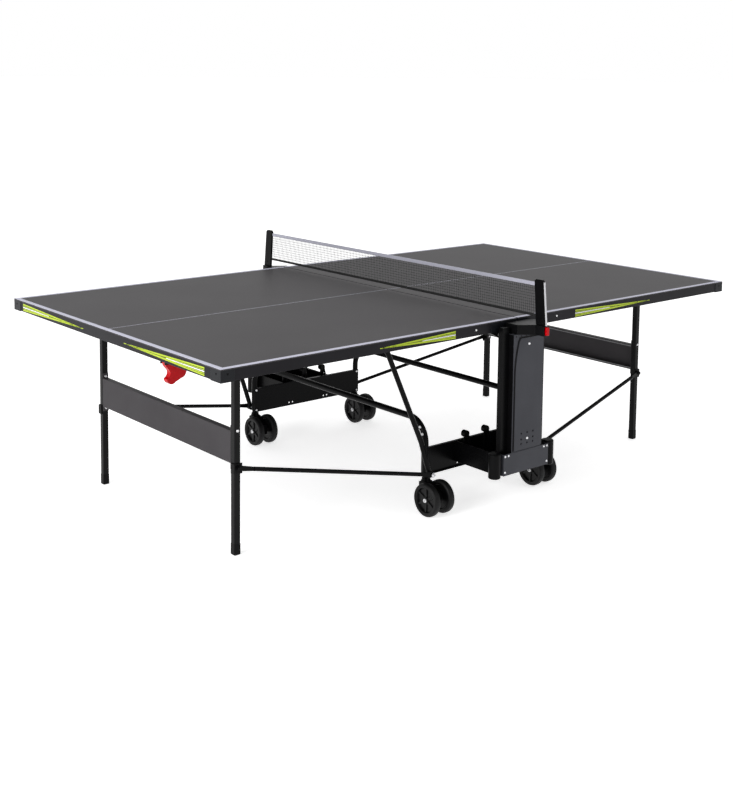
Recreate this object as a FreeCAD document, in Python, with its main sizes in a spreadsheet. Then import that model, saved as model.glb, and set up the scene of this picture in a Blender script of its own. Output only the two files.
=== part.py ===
"""Rollaway ping pong table with two folding halves, a wheeled base and a post net.

Frame: X runs along the table's length, Y across it, Z up, origin on the floor
under the middle of the net.  All sizes are in millimetres.
The left half is -X and the near side is -Y; the right half and the far side are
the same pieces turned by half a turn about Z.
"""
import FreeCAD, Part
import math
import os
import re

doc = FreeCAD.newDocument("ping_pong_table")
dim = doc.addObject("Spreadsheet::Sheet", "Dim")

SIZES = (
    # playing top
    ("table_length", 2740), ("table_width", 1525), ("playing_height", 760), ("centre_gap", 4),
    ("sheet_thick", 5), ("rim_height", 39), ("rim_width", 20), ("rim_wall", 1.5), ("rim_inset", 2),
    ("outer_cap_arm", 54), ("guard_length", 140), ("guard_arm", 60),
    ("stiffener_wide", 30), ("stiffener_deep", 36), ("stiffener_outer_x", 1010),
    ("stiffener_mid_x", 680), ("stiffener_inner_x", 250),
    # fold: pivot of each half on its guide shoes
    ("pivot_x", 100), ("pivot_z", 706), ("pivot_pin_radius", 6), ("running_gap", 0.05),
    ("hinge_block_in_y", 742), ("hinge_block_out_y", 762),
    # struts between the base and the rails under the top
    ("strut_foot_x", 303), ("strut_foot_z", 158), ("strut_y", 602), ("strut_radius", 10),
    ("strut_knee_x", 349), ("strut_knee_z", 292), ("strut_top_x", 537), ("strut_top_z", 690),
    ("strut_eye_radius", 14), ("strut_bolt_radius", 5), ("rail_plate_y", 616), ("rail_thick", 3),
    # legs
    ("leg_x", 1118), ("leg_y", 476), ("leg_side", 25), ("leg_top_z", 740), ("leg_wall", 1.5),
    ("leg_pivot_z", 725), ("leg_foot_base", 12), ("leg_foot_height", 42), ("leg_foot_side", 29),
    ("leg_panel_low_z", 330), ("leg_panel_high_z", 447), ("flange_extra", 20), ("rod_leg_z", 318),
    ("rod_radius", 8),
    ("rod_leg_y", 497), ("rod_base_y", 621), ("rod_plate_thick", 6), ("rod_plate_long", 60),
    # wheeled base
    ("frame_x", 300), ("frame_y", 575), ("frame_bar_z", 360), ("frame_bend", 90),
    ("frame_radius", 12.5), ("frame_wall", 1.5), ("frame_low_z", 148),
    ("panel_low_z", 140), ("panel_high_z", 250), ("panel_y", 560.5), ("steel", 2),
    ("wall_x", 131), ("wall_low_z", 165), ("wall_high_z", 247.9), ("wall_end_y", 785.4),
    ("plate_half", 126), ("plate_low_z", 168), ("plate_high_z", 252), ("column_face_y", 825),
    ("corner_x", 150), ("corner_y", 802), ("corner_radius", 24), ("corner_low_z", 160),
    ("corner_high_z", 258), ("tray_half", 128), ("tray_in_y", 574), ("tray_out_y", 763),
    ("tray_low_z", 168), ("tray_high_z", 246), ("tray_wall", 2.5),
    ("clip_pitch", 112), ("clip_y", 603), ("clip_radius", 14), ("clip_high_z", 296),
    # columns and net
    ("column_half", 82), ("column_back_y", 768), ("column_low_z", 172), ("column_high_z", 712),
    ("cover_low_z", 256), ("cover_high_z", 703), ("cover_thick", 3.5),
    ("guide_in_x", 82), ("guide_out_x", 118), ("guide_in_y", 776), ("guide_out_y", 800),
    ("guide_wall", 2), ("guide_low_z", 200), ("guide_high_z", 738), ("guide_slot_half", 10),
    ("shoe_half", 15.5), ("shoe_tall", 60), ("shoe_neck_half", 9.5),
    ("bracket_half", 70), ("bracket_in_y", 769), ("bracket_out_y", 912), ("bracket_high_z", 750),
    ("button_half", 7), ("button_out_y", 922), ("button_in_y", 896), ("button_gap", 0.6),
    ("post_half", 5), ("post_high_z", 925), ("net_half_width", 858), ("net_low_z", 790),
    ("net_high_z", 912.5), ("band_height", 14.5), ("net_half_thick", 1), ("hem_height", 10),
    # casters
    ("caster_x", 295), ("caster_y", 576), ("caster_trail", 48), ("wheel_radius", 65),
    ("wheel_wide", 28), ("wheel_plane", 37), ("axle_radius", 6), ("stem_radius", 8),
    ("fork_half", 19), ("collar_high_z", 134), ("socket_radius", 13.4), ("socket_low_z", 136),
    # release lever
    ("lever_x", 1330), ("lever_y", 365), ("lever_z", 706), ("lever_wide", 24),
)
for row, (alias, value) in enumerate(SIZES, start=1):
    dim.set("A%d" % row, alias)
    dim.set("B%d" % row, str(value))
    dim.setAlias("B%d" % row, alias)
doc.recompute()

ALONG = {
    "x": FreeCAD.Rotation(FreeCAD.Vector(0, 1, 0), 90),
    "y": FreeCAD.Rotation(FreeCAD.Vector(1, 0, 0), -90),
    "z": FreeCAD.Rotation(),
}
SUBPARTS = []


def size(alias):
    """One driving dimension, as a number."""
    return float(dim.get(alias))


def expr(text):
    """An expression over the sheet's aliases, for setExpression."""
    return re.sub(r"[a-z][a-z_]+", lambda word: "Dim." + word.group(0), str(text))


def put(obj, x, y, z):
    """Binds an object's position to the sheet."""
    for axis, text in (("x", x), ("y", y), ("z", z)):
        obj.setExpression("Placement.Base." + axis, expr(text))
    return obj


def box(x_low, x_high, y_low, y_high, z_low, z_high):
    """A block between two corners, each given as an expression."""
    obj = doc.addObject("Part::Box", "Block")
    obj.setExpression("Length", expr("(%s) - (%s)" % (x_high, x_low)))
    obj.setExpression("Width", expr("(%s) - (%s)" % (y_high, y_low)))
    obj.setExpression("Height", expr("(%s) - (%s)" % (z_high, z_low)))
    return put(obj, x_low, y_low, z_low)


def bar(axis, x, y, z, length, radius):
    """A round bar or a drill from a point along one axis."""
    obj = doc.addObject("Part::Cylinder", "Round")
    obj.Placement = FreeCAD.Placement(FreeCAD.Vector(), ALONG[axis])
    obj.setExpression("Height", expr(length))
    obj.setExpression("Radius", expr(radius))
    return put(obj, x, y, z)


def cut(body, *tools):
    """Takes each tool away from a body."""
    for tool in tools:
        obj = doc.addObject("Part::Cut", "Cut")
        obj.Base = body
        obj.Tool = tool
        body = obj
    return body


def fuse(*bodies):
    """Joins bodies into one solid."""
    obj = doc.addObject("Part::MultiFuse", "Joined")
    obj.Shapes = list(bodies)
    obj.Refine = True
    return obj


def group(*bodies):
    """Keeps bodies as separate solids of one object."""
    obj = doc.addObject("Part::Compound", "Group")
    obj.Links = list(bodies)
    return obj


def turned(body):
    """The same piece on the other side, half a turn about Z."""
    obj = group(body)
    obj.Placement = FreeCAD.Placement(FreeCAD.Vector(), FreeCAD.Rotation(FreeCAD.Vector(0, 0, 1), 180))
    return obj


def across(body):
    """The same piece mirrored from the near side to the far side."""
    obj = doc.addObject("Part::Mirroring", "Far")
    obj.Source = body
    obj.Normal = FreeCAD.Vector(0, 1, 0)
    return obj


def slab(outline, axis, start, thick):
    """A plate of the given outline, pushed out along X or Y.

    An outline is a list of points; a point with a third and fourth number is
    the middle of an arc that ends at the next point.
    """
    def place(u, v):
        return FreeCAD.Vector(start, u, v) if axis == "x" else FreeCAD.Vector(u, start, v)

    edges = []
    here = outline[0]
    for item in list(outline[1:]) + [outline[0]]:
        if len(item) == 4:
            edges.append(Part.Arc(place(*here), place(*item[:2]), place(*item[2:])).toShape())
            here = item[2:]
        else:
            edges.append(Part.LineSegment(place(*here), place(*item)).toShape())
            here = item
    face = Part.Face(Part.Wire(edges))
    profile = doc.addObject("Part::Feature", "Outline")
    profile.Shape = face
    obj = doc.addObject("Part::Extrusion", "Slab")
    obj.Base = profile
    obj.DirMode = "Custom"
    obj.Dir = FreeCAD.Vector(1, 0, 0) if axis == "x" else FreeCAD.Vector(0, 1, 0)
    obj.Solid = True
    obj.setExpression("LengthFwd", expr(thick))
    return obj


def bent_tube(points, bend, radius, wall):
    """A tube along straight runs joined by arcs of one bend radius."""
    corners = [FreeCAD.Vector(*point) for point in points]
    edges = []
    here = corners[0]
    for before, corner, after in zip(corners, corners[1:], corners[2:]):
        back = (before - corner).normalize()
        ahead = (after - corner).normalize()
        half_angle = back.getAngle(ahead) / 2
        reach = bend / math.tan(half_angle)
        start = corner + back * reach
        end = corner + ahead * reach
        inward = (back + ahead).normalize()
        middle = corner + inward * (bend / math.sin(half_angle) - bend)
        edges.append(Part.LineSegment(here, start).toShape())
        edges.append(Part.Arc(start, middle, end).toShape())
        here = end
    edges.append(Part.LineSegment(here, corners[-1]).toShape())
    path = Part.Wire(edges)

    def sweep(section_radius):
        direction = corners[1] - corners[0]
        section = Part.Wire(Part.makeCircle(section_radius, corners[0], direction))
        return path.makePipeShell([section], True, False)

    tube = sweep(radius)
    if wall:
        tube = tube.cut(sweep(radius - wall))
    obj = doc.addObject("Part::Feature", "Tube")
    obj.Shape = tube
    return obj


def subpart(name, body):
    """Names a finished piece; its name is its file."""
    body.Label = name
    SUBPARTS.append((name, body))
    return body


def both_halves(name, left):
    """A piece of the left half and the same piece of the right half."""
    subpart(name + "_left", left)
    subpart(name + "_right", turned(left))


# --- Playing top: a composite sheet on a steel rim -------------------------
both_halves("table_top", box("-table_length / 2", "-centre_gap", "-table_width / 2", "table_width / 2",
                             "playing_height - sheet_thick", "playing_height"))

# Rim: a channel section bent round the half, open towards the inside.
RIM_TOP = "playing_height - sheet_thick"
RIM_LOW = "playing_height - sheet_thick - rim_height"
RIM_END = "-table_length / 2 + rim_inset"
RIM_INNER = "-centre_gap - rim_inset"
RIM_SIDE = "(table_width / 2 - rim_inset)"


def rim_block(inset, z_low, z_high):
    return box("%s + %s" % (RIM_END, inset), "%s - %s" % (RIM_INNER, inset),
               "-%s + %s" % (RIM_SIDE, inset), "%s - %s" % (RIM_SIDE, inset), z_low, z_high)


both_halves("rim", cut(rim_block("0", RIM_LOW, RIM_TOP),
                       rim_block("rim_wall", RIM_LOW + " + rim_wall", RIM_TOP + " - rim_wall"),
                       rim_block("rim_width", RIM_LOW + " - 1", RIM_TOP + " + 1")))

# Plastic corners: a short wrap at the outer end, a long guard at the net end,
# each with an arm round the corner and a lip under the rim.
LIP_LOW = RIM_LOW + " - rim_inset"


def corner_wrap(x_side_low, x_side_high, x_end_low, x_end_high):
    side = box(x_side_low, x_side_high, "-table_width / 2", "-" + RIM_SIDE, LIP_LOW, RIM_TOP)
    end = box(x_end_low, x_end_high, "-table_width / 2", "-table_width / 2 + guard_arm", LIP_LOW, RIM_TOP)
    lip = box(x_side_low, x_side_high, "-table_width / 2", "-table_width / 2 + rim_width", LIP_LOW, RIM_LOW)
    return fuse(side, end, lip)


outer_wrap = corner_wrap("-table_length / 2", "-table_length / 2 + outer_cap_arm",
                         "-table_length / 2", RIM_END)
inner_wrap = corner_wrap("-centre_gap - guard_length", "-centre_gap", RIM_INNER, "-centre_gap")
both_halves("corner_caps", group(outer_wrap, across(outer_wrap), inner_wrap, across(inner_wrap)))

# Stiffeners: folded steel channels across the half, open towards the sheet.
STIFFENER_SIDE = "(table_width / 2 - rim_inset - rim_width)"
stiffeners = []
for centre in ("stiffener_outer_x", "stiffener_mid_x", "stiffener_inner_x"):
    low = "-%s - stiffener_wide / 2" % centre
    high = "-%s + stiffener_wide / 2" % centre
    shell = box(low, high, "-" + STIFFENER_SIDE, STIFFENER_SIDE, RIM_TOP + " - stiffener_deep", RIM_TOP)
    hollow = box(low + " + rim_wall", high + " - rim_wall", "-%s + 1" % STIFFENER_SIDE,
                 STIFFENER_SIDE + " - 1", RIM_TOP + " - stiffener_deep + rim_wall", RIM_TOP + " + 1")
    stiffeners.append(cut(shell, hollow))
both_halves("stiffeners", group(*stiffeners))

# Hinge blocks: deep plastic-clad plates under the net end, bored for the pivot pin.
block = slab([(-142, 714), (-112, 699), (-62, 678), (-34, 678, -24, 688), (-12, 714)], "y",
             -size("hinge_block_out_y"), "hinge_block_out_y - hinge_block_in_y")
block_bore = bar("y", "-pivot_x", "-hinge_block_out_y - 5", "pivot_z", "40", "pivot_pin_radius + running_gap")
hinge_block = cut(block, block_bore)
both_halves("hinge_blocks", group(hinge_block, across(hinge_block)))

# Strut rails: slotted plates hung between two stiffeners; the strut ends run in them.
RAIL_OUT = "-rail_plate_y - rail_thick"
rail_strip = box("-stiffener_mid_x + stiffener_wide / 2", "-stiffener_inner_x - stiffener_wide / 2",
                 RAIL_OUT, "-rail_plate_y", "strut_top_z + 25", RIM_TOP)
rail_web = box("-strut_top_x - 33", "-strut_top_x + 157", RAIL_OUT, "-rail_plate_y", "strut_top_z - 16",
               "strut_top_z + 25")
rail_flange = box("-stiffener_mid_x + stiffener_wide / 2", "-stiffener_inner_x - stiffener_wide / 2",
                  "-rail_plate_y - 24", "-rail_plate_y", RIM_TOP + " - rail_thick", RIM_TOP)
slot = box("-strut_top_x", "-strut_top_x + 130", RAIL_OUT + " - 1", "-rail_plate_y + 1",
           "strut_top_z - 6", "strut_top_z + 6")
slot_ends = [bar("y", x, RAIL_OUT + " - 1", "strut_top_z", "rail_thick + 2", "6")
             for x in ("-strut_top_x", "-strut_top_x + 130")]
strut_rail = cut(fuse(rail_strip, rail_web, rail_flange), fuse(slot, *slot_ends))
subpart("strut_rails_left", group(strut_rail, across(strut_rail)))

# Leg hinges: a strap under the sheet with two ears and a pin for each leg.
strap = box("-table_length / 2 + rim_inset + rim_width", "-stiffener_outer_x - stiffener_wide / 2",
            "-leg_y - 22", "-leg_y + 22", RIM_TOP + " - rail_thick", RIM_TOP)
ears = [box("-leg_x - 17", "-leg_x + 17", "-leg_y + %s" % low, "-leg_y + %s" % high,
            "leg_pivot_z - 14", RIM_TOP + " - rail_thick") for low, high in ((-19, -16), (16, 19))]
hinge_pin = bar("y", "-leg_x", "-leg_y - 22", "leg_pivot_z", "44", "strut_bolt_radius")
leg_hinge = fuse(strap, ears[0], ears[1], hinge_pin)

# Lever mount: two ears and a pin behind the end rim, one on each half.
mount_ears = [box("-lever_x - 14", "-lever_x + 14", "-lever_y + %s" % low, "-lever_y + %s" % high,
                  "lever_z - 9", RIM_TOP) for low, high in ((-16, -13), (13, 16))]
mount_roof = box("-lever_x - 14", "-lever_x + 14", "-lever_y - 13", "-lever_y + 13", RIM_TOP + " - 3", RIM_TOP)
mount_pin = bar("y", "-lever_x", "-lever_y - 19", "lever_z", "38", "4")
lever_mount = fuse(mount_ears[0], mount_ears[1], mount_roof, mount_pin)
both_halves("leg_hinges", group(leg_hinge, across(leg_hinge), lever_mount))

# --- Release lever: a red hook that hangs behind each end rim ----------------
lever_side = slab([(-1342, 712), (-1276, 712), (-1256, 704, -1252, 688), (-1255, 664),
                   (-1262, 648, -1276, 641), (-1300, 630), (-1325, 628, -1333, 645),
                   (-1321, 658, -1323, 674), (-1337, 690)],
                  "y", -size("lever_y") - size("lever_wide") / 2, "lever_wide")
lever_bore = bar("y", "-lever_x", "-lever_y - 20", "lever_z", "40", "4 + running_gap")
both_halves("release_lever", cut(lever_side, lever_bore))

# --- Legs -------------------------------------------------------------------
leg_tube = cut(
    box("-leg_x - leg_side / 2", "-leg_x + leg_side / 2", "-leg_y - leg_side / 2", "-leg_y + leg_side / 2",
        "leg_foot_base", "leg_top_z"),
    box("-leg_x - leg_side / 2 + leg_wall", "-leg_x + leg_side / 2 - leg_wall",
        "-leg_y - leg_side / 2 + leg_wall", "-leg_y + leg_side / 2 - leg_wall",
        "leg_foot_base - 1", "leg_top_z - leg_wall"),
    bar("y", "-leg_x", "-leg_y - 20", "leg_pivot_z", "40", "strut_bolt_radius + running_gap"))
both_halves("legs", group(leg_tube, across(leg_tube)))

foot = cut(
    box("-leg_x - leg_foot_side / 2", "-leg_x + leg_foot_side / 2", "-leg_y - leg_foot_side / 2",
        "-leg_y + leg_foot_side / 2", "0", "leg_foot_height"),
    box("-leg_x - leg_side / 2", "-leg_x + leg_side / 2", "-leg_y - leg_side / 2", "-leg_y + leg_side / 2",
        "leg_foot_base", "leg_foot_height + 1"))
both_halves("leg_feet", group(foot, across(foot)))

# Leg panel: one folded steel channel between the two legs, open towards the net,
# with a taller flange at each end that is bolted to the leg.
PANEL_SIDE = "(leg_y - leg_side / 2)"
leg_panel = cut(
    box("-leg_x - leg_side / 2", "-leg_x + leg_side / 2", "-" + PANEL_SIDE, PANEL_SIDE,
        "leg_panel_low_z", "leg_panel_high_z"),
    box("-leg_x - leg_side / 2 + leg_wall", "-leg_x + leg_side / 2 + 1", "-%s + leg_wall" % PANEL_SIDE,
        PANEL_SIDE + " - leg_wall", "leg_panel_low_z + leg_wall", "leg_panel_high_z - leg_wall"))
end_flange = box("-leg_x - leg_side / 2", "-leg_x + leg_side / 2",
                 "-" + PANEL_SIDE, "-%s + steel" % PANEL_SIDE,
                 "leg_panel_low_z - flange_extra", "leg_panel_high_z + flange_extra")
both_halves("leg_panel", fuse(leg_panel, end_flange, across(end_flange)))

# Leg clamps: plastic blocks on the outer face of each leg, beside the rod ends.
clamp = fuse(box("-leg_x - 17", "-leg_x + 17", "-leg_y - leg_side / 2 - 5", "-leg_y - leg_side / 2",
                 "rod_leg_z - 22", "rod_leg_z + 16"),
             box("-leg_x - 17", "-leg_x - leg_side / 2", "-leg_y - leg_side / 2 - 5", "-leg_y + 6",
                 "rod_leg_z - 22", "rod_leg_z + 16"))
both_halves("leg_clamps", group(clamp, across(clamp)))

# --- Struts: bent tubes from the base bolt to the rail ------------------------
strut_tube = bent_tube([(-size("strut_foot_x"), -size("strut_y"), size("strut_foot_z")),
                        (-size("strut_knee_x"), -size("strut_y"), size("strut_knee_z")),
                        (-size("strut_top_x"), -size("strut_y"), size("strut_top_z"))],
                       160, size("strut_radius"), 0)
foot_eye = bar("y", "-strut_foot_x", "-strut_y - strut_radius", "strut_foot_z", "2 * strut_radius",
               "strut_eye_radius")
top_eye = bar("y", "-strut_top_x", "-strut_y - strut_radius", "strut_top_z", "2 * strut_radius", "12")
top_bolt = bar("y", "-strut_top_x", "-rail_plate_y + 0.5", "strut_top_z", "34", "strut_bolt_radius")
foot_bore = bar("y", "-strut_foot_x", "-strut_y - 20", "strut_foot_z", "40", "strut_bolt_radius + running_gap")
strut = cut(fuse(strut_tube, foot_eye, top_eye, top_bolt), foot_bore)
subpart("struts_left", group(strut, across(strut)))

# --- Leg rods: thin tubes with flattened ends ---------------------------------
rod_start = FreeCAD.Vector(-size("strut_foot_x"), -size("rod_base_y"), size("strut_foot_z"))
rod_end = FreeCAD.Vector(-size("leg_x"), -size("rod_leg_y"), size("rod_leg_z"))
rod_along = (rod_end - rod_start).normalize()
tube_start = rod_start + rod_along * size("rod_plate_long")
tube_end = rod_end - rod_along * size("rod_plate_long")
rod_tube = doc.addObject("Part::Feature", "RodTube")
tube_length = tube_start.distanceToPoint(tube_end)
rod_tube.Shape = Part.makeCylinder(size("rod_radius"), tube_length, tube_start, rod_along)


def flattened_end(tip, away):
    """A flat eye at one end of the rod, running into the tube."""
    half = size("rod_plate_thick") / 2
    inner = tip + away * (size("rod_plate_long") + 20)
    eye = Part.makeCylinder(10, 2 * half, tip - FreeCAD.Vector(0, half, 0), FreeCAD.Vector(0, 1, 0))
    side = away.cross(FreeCAD.Vector(0, 1, 0)).normalize() * 10
    drop = FreeCAD.Vector(0, half, 0)
    near = [tip + side - drop, tip - side - drop, inner - side * 0.6 - drop, inner + side * 0.6 - drop]
    face = Part.Face(Part.Wire(Part.makePolygon(near + [near[0]])))
    tongue = face.extrude(FreeCAD.Vector(0, 2 * half, 0))
    obj = doc.addObject("Part::Feature", "FlatEnd")
    obj.Shape = eye.fuse(tongue)
    return obj


rod_bolt = bar("y", "-leg_x", "-rod_leg_y - rod_plate_thick / 2 - 7", "rod_leg_z", "10", "7")
rod_body = fuse(rod_tube, flattened_end(rod_start, rod_along), flattened_end(rod_end, rod_along * -1), rod_bolt)
rod_bore = bar("y", "-strut_foot_x", "-rod_base_y - 20", "strut_foot_z", "40",
               "strut_bolt_radius + running_gap")
leg_rod = cut(rod_body, rod_bore)
both_halves("leg_rods", group(leg_rod, across(leg_rod)))

# --- Wheeled base ---------------------------------------------------------------
frame_run = [(-size("frame_x"), -size("frame_y"), size("frame_low_z")),
             (-size("frame_x"), -size("frame_y"), size("frame_bar_z")),
             (-size("frame_x"), size("frame_y"), size("frame_bar_z")),
             (-size("frame_x"), size("frame_y"), size("frame_low_z"))]
both_halves("wheel_frame", bent_tube(frame_run, size("frame_bend"), size("frame_radius"), size("frame_wall")))

panel_web = box("-frame_x - 8", "frame_x + 8", "-panel_y - steel", "-panel_y", "panel_low_z", "panel_high_z")
panel_lips = [box("-frame_x + 20", "frame_x - 20", "-panel_y - steel - 10", "-panel_y - steel", low, high)
              for low, high in (("panel_high_z - steel", "panel_high_z"), ("panel_low_z", "panel_low_z + steel"))]
panel_holes = [bar("y", x, "-panel_y - 5", "panel_low_z + 14", "10", "3.5")
               for x in ("-112", "-92", "92", "112")]
inner_panel = cut(fuse(panel_web, panel_lips[0], panel_lips[1]), *panel_holes)
subpart("inner_panels", group(inner_panel, turned(inner_panel)))

side_wall = box("-wall_x - steel", "-wall_x", "-wall_end_y", "-panel_y - steel", "wall_low_z", "wall_high_z")
side_walls = [side_wall, across(side_wall)]
subpart("base_walls", group(*(side_walls + [turned(wall) for wall in side_walls])))

plate = fuse(box("-plate_half", "plate_half", "-column_face_y - steel", "-column_face_y", "plate_low_z",
                 "plate_high_z"),
             box("-plate_half", "-plate_half + steel", "-column_face_y", "-column_face_y + 30", "plate_low_z",
                 "plate_high_z"),
             box("plate_half - steel", "plate_half", "-column_face_y", "-column_face_y + 30", "plate_low_z",
                 "plate_high_z"))
subpart("base_plates", group(plate, turned(plate)))

corner_post = doc.addObject("Part::Fillet", "CornerRound")
corner_post.Base = bar("z", "-corner_x", "-corner_y", "corner_low_z", "corner_high_z - corner_low_z",
                       "corner_radius")
doc.recompute()
corner_post.Edges = [(index + 1, 5, 5) for index, edge in enumerate(corner_post.Base.Shape.Edges)
                     if edge.Curve.TypeId == "Part::GeomCircle"]
corners = [corner_post, across(corner_post)]
subpart("base_corner_caps", group(*(corners + [turned(corner) for corner in corners])))

tray = cut(box("-tray_half", "tray_half", "-tray_out_y", "-tray_in_y", "tray_low_z", "tray_high_z"),
           box("-tray_half + tray_wall", "tray_half - tray_wall", "-tray_out_y + tray_wall",
               "-tray_in_y - tray_wall", "tray_low_z + tray_wall", "tray_high_z + 1"))
subpart("ball_trays", group(tray, turned(tray)))

clips = []
for x in ("-clip_pitch", "0", "clip_pitch"):
    stalk = box(x + " - 9", x + " + 9", "-clip_y - 3", "-clip_y + 3", "tray_low_z + tray_wall",
                "clip_high_z - clip_radius")
    roll = bar("y", x, "-clip_y - 11", "clip_high_z - clip_radius", "22", "clip_radius")
    clips.append(fuse(stalk, roll))
subpart("tray_clips", group(*(clips + [turned(clip) for clip in clips])))

plate_screws = [bar("y", x, "-column_face_y - steel - 1.6", z, "1.6", "4.5") for x, z in
                (("-plate_half + 8", "plate_high_z - 8"), ("-plate_half + 26", "plate_high_z - 8"),
                 ("plate_half - 8", "plate_high_z - 8"), ("plate_half - 26", "plate_high_z - 8"),
                 ("-plate_half + 8", "plate_low_z + 14"), ("plate_half - 8", "plate_low_z + 14"))]
panel_screws = [bar("y", x, "-panel_y", z, "1.6", "5") for x in ("-frame_x + 2", "frame_x - 2")
                for z in ("panel_low_z + 9", "panel_high_z - 9")]
column_screws = [bar("y", "0", "-column_face_y - cover_thick - 2", z, "2", "5") for z in ("297", "669")]
screws = plate_screws + panel_screws + column_screws
subpart("base_screws", group(*(screws + [turned(screw) for screw in screws])))

pivot_bolt = fuse(bar("y", "-strut_foot_x", "-rod_base_y - 6", "strut_foot_z",
                      "rod_base_y + 6 - frame_y - frame_radius + 1", "strut_bolt_radius"),
                  bar("y", "-strut_foot_x", "-rod_base_y - 12", "strut_foot_z", "7", "9"))
pivot_bolts = [pivot_bolt, across(pivot_bolt)]
subpart("pivot_bolts", group(*(pivot_bolts + [turned(bolt) for bolt in pivot_bolts])))

# --- Columns, their covers and guide rails --------------------------------------
column_shell = box("-column_half", "column_half", "-column_face_y", "-column_back_y", "column_low_z",
                   "column_high_z")
column_hollow = box("-column_half + steel", "column_half - steel", "-column_face_y + steel",
                    "-column_back_y - steel", "column_low_z - 1", "column_high_z - steel")
column = cut(column_shell, column_hollow)
subpart("columns", group(column, turned(column)))

cover_side = size("column_half")
cover = slab([(-72, size("cover_low_z")), (cover_side, size("cover_low_z")),
              (cover_side, size("cover_high_z")), (-46, size("cover_high_z")), (-66, 625, -72, 540)],
             "y", -size("column_face_y") - size("cover_thick"), "cover_thick")
cover_holes = [bar("y", str(x), "-column_face_y - 10", str(z), "11", "4") for x in (-33, 0, 33)
               for z in (279, 297, 320) if (x, z) != (0, 297)]
column_cover = cut(cover, *cover_holes)
subpart("column_covers", group(column_cover, turned(column_cover)))

guide = cut(
    box("-guide_out_x", "-guide_in_x", "-guide_out_y", "-guide_in_y", "guide_low_z", "guide_high_z"),
    box("-guide_out_x + guide_wall", "-guide_in_x - guide_wall", "-guide_out_y + guide_wall",
        "-guide_in_y - guide_wall", "guide_low_z - 1", "guide_high_z + 1"),
    box("-pivot_x - guide_slot_half", "-pivot_x + guide_slot_half", "-guide_in_y - guide_wall - 1",
        "-guide_in_y + 1", "guide_low_z - 1", "guide_high_z + 1"))
guides = [guide, across(guide)]
subpart("guide_rails", group(*(guides + [turned(rail) for rail in guides])))

# Guide shoes: blocks that run in the rails, with the pivot pins of the halves.
shoe_block = box("-pivot_x - shoe_half", "-pivot_x + shoe_half", "-guide_out_y + guide_wall + 0.7",
                 "-guide_in_y - guide_wall - 0.7", "pivot_z - shoe_tall / 2", "pivot_z + shoe_tall / 2")
shoe_neck = box("-pivot_x - shoe_neck_half", "-pivot_x + shoe_neck_half", "-guide_in_y - guide_wall - 1",
                "-guide_in_y + 3", "pivot_z - shoe_tall / 2", "pivot_z + shoe_tall / 2")
shoe_bore = bar("y", "-pivot_x", "-guide_out_y + 10", "pivot_z", "40", "pivot_pin_radius")
shoe = cut(fuse(shoe_block, shoe_neck), shoe_bore)
both_halves("guide_shoes", group(shoe, across(shoe)))
pin = fuse(bar("y", "-pivot_x", "-guide_out_y + 10", "pivot_z", "guide_out_y - 10 - hinge_block_in_y + 0.3",
               "pivot_pin_radius"),
           bar("y", "-pivot_x", "-hinge_block_in_y + 0.3", "pivot_z", "3.5", "9"))
both_halves("hinge_pins", group(pin, across(pin)))

# --- Net set ---------------------------------------------------------------------
bracket_top = Part.makePolygon([FreeCAD.Vector(x, -y, size("column_high_z")) for x, y in (
    (-size("bracket_half"), size("bracket_in_y")), (size("bracket_half"), size("bracket_in_y")),
    (size("bracket_half"), 830), (14, 868), (14, size("bracket_out_y")), (-14, size("bracket_out_y")),
    (-14, 868), (-size("bracket_half"), 830), (-size("bracket_half"), size("bracket_in_y")))])
bracket_block = doc.addObject("Part::Feature", "BracketBlock")
bracket_block.Shape = Part.Face(bracket_top).extrude(
    FreeCAD.Vector(0, 0, size("bracket_high_z") - size("column_high_z")))
bracket = cut(
    bracket_block,
    box("-button_half - button_gap", "button_half + button_gap", "-bracket_out_y - 1", "-button_in_y + 8",
        "column_high_z + 3", "bracket_high_z - 3"))
subpart("net_brackets", group(bracket, turned(bracket)))

button = box("-button_half", "button_half", "-button_out_y", "-button_in_y", "column_high_z + 3 + button_gap",
             "bracket_high_z - 3 - button_gap")
subpart("net_button_near", button)
subpart("net_button_far", turned(button))

post = slab([(-912, size("bracket_high_z")), (-862, size("bracket_high_z")), (-850, 918),
             (-858, size("post_high_z")), (-889, size("post_high_z")), (-897, 917)],
            "x", -size("post_half"), "2 * post_half")
subpart("net_posts", group(post, turned(post)))

BAND_LOW = "net_high_z - band_height"
band_low_z = size("net_high_z") - size("band_height")
subpart("net", slab([(-size("net_half_width"), size("net_low_z")), (size("net_half_width"), size("net_low_z")),
                     (size("net_half_width") - 10, band_low_z), (10 - size("net_half_width"), band_low_z)],
                    "x", -size("net_half_thick"), "2 * net_half_thick"))
net_band = box("-2", "2", "-net_half_width + 8.5", "net_half_width - 8.5", BAND_LOW, "net_high_z")
net_hem = box("-2", "2", "-net_half_width", "net_half_width", "net_low_z - hem_height", "net_low_z")
subpart("net_tapes", group(net_band, net_hem))

# --- Casters: twin wheels on a trailing fork ----------------------------------------
socket = cut(bar("z", "-caster_x", "-caster_y", "socket_low_z", "frame_low_z - socket_low_z",
                 "socket_radius"),
             bar("z", "-caster_x", "-caster_y", "socket_low_z - 1", "frame_low_z - socket_low_z + 2",
                 "stem_radius + running_gap"))
sockets = [socket, across(socket)]
subpart("caster_sockets", group(*(sockets + [turned(one) for one in sockets])))

fork_side = slab([(-68, 46), (-28, 46), (20, 100), (20, 118), (0, 124, -20, 120), (-70, 90)],
                 "x", -size("fork_half"), "2 * fork_half")
ribs = [bar("z", "0", "0", str(z), "4", "20") for z in (104, 112, 120)]
collar = bar("z", "0", "0", "100", "collar_high_z - 100", "17")
stem = bar("z", "0", "0", "collar_high_z - 1", "frame_low_z - collar_high_z", "stem_radius")
axle_bore = bar("x", "-30", "-caster_trail", "wheel_radius", "60", "axle_radius + running_gap")
fork = cut(fuse(fork_side, collar, stem, *ribs), axle_bore)

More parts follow.
